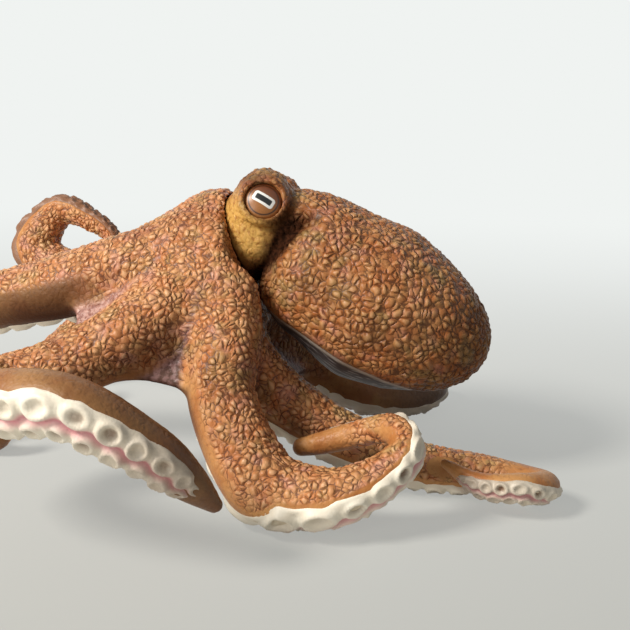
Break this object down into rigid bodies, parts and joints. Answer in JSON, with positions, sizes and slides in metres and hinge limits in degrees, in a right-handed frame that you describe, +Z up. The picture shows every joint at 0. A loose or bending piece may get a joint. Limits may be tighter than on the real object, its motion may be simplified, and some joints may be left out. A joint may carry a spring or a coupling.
{
  "type": "octopus figurine",
  "caption": "Lifelike octopus ornament standing on curled, webbed arms with cream sucker bands; the head and egg-shaped mantle turn a little in the neck collar.",
  "frame": {"origin": "middle of the bounding box in plan, on the surface that the figurine stands on", "axes": "+Z up, +X towards the end of the mantle, -Y the figurine's left side"},
  "size_m": [0.1589, 0.1376, 0.0739],
  "materials": {
    "arm_skin": "satin painted vinyl, orange-brown with dark creases",
    "body_skin": "satin painted vinyl, brown with dark creases",
    "belly": "satin painted vinyl, grey-black streaks",
    "suckers": "satin cream vinyl with a pink middle groove",
    "mouth": "satin cream vinyl",
    "eye": "gloss painted, brown with a white and black pupil",
    "peg": "plain moulded"
  },
  "bodies": {
    "arms": {"arm_crown": "arm_skin", "mouth_disc": "mouth", "arm_left_1": "arm_skin", "arm_left_2": "arm_skin", "arm_left_3": "arm_skin", "arm_left_4": "arm_skin", "arm_right_1": "arm_skin", "arm_right_2": "arm_skin", "arm_right_3": "arm_skin", "arm_right_4": "arm_skin", "suckers_left_1": "suckers", "suckers_left_2": "suckers", "suckers_left_3": "suckers", "suckers_left_4": "suckers", "suckers_right_1": "suckers", "suckers_right_2": "suckers", "suckers_right_3": "suckers", "suckers_right_4": "suckers"},
    "head": {"head_shell": "body_skin", "mantle_shell": "body_skin", "mantle_belly": "belly", "eye_left": "eye", "eye_right": "eye", "neck_peg": "peg"}
  },
  "joints": [
    {"name": "neck_turn", "type": "hinge", "parent": "arms", "child": "head", "pos_m": [0.006, 0.007, 0.0575], "axis": [0.9397, 0, 0.342], "range_deg": [-12, 12]}
  ]
}
